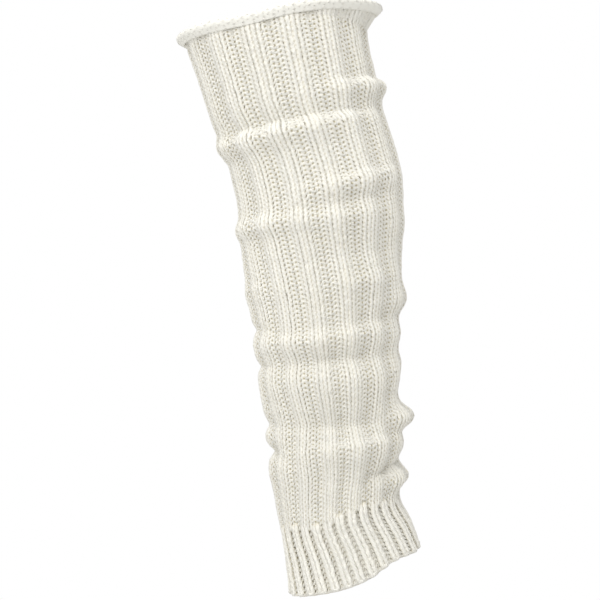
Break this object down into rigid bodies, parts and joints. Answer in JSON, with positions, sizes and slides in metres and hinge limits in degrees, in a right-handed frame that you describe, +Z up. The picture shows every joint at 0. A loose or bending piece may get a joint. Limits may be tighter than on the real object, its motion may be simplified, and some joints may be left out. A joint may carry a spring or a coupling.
{
  "type": "leg warmer",
  "caption": "Chunky rib-knit leg warmer, filled out as on a lower leg, with a rolled top edge, slouch folds down the tube and a flared narrow-rib cuff over the instep.",
  "frame": {"origin": "on the tube's axis at the fullest part of the calf, where the leg holds it", "axes": "+Z up the leg, +X towards the toes and the cuff's longer side, -Y towards the front of the picture"},
  "size_m": [0.1747, 0.1303, 0.4202],
  "materials": {
    "plain_knit": "matt cream acrylic yarn, smooth rolled knit",
    "wide_rib_knit": "matt cream acrylic yarn, two by two rib",
    "narrow_rib_knit": "matt cream acrylic yarn, one by one rib"
  },
  "bodies": {
    "root": {"rolled_top_edge": "plain_knit", "leg_tube": "wide_rib_knit", "ankle_cuff": "narrow_rib_knit"}
  },
  "joints": []
}
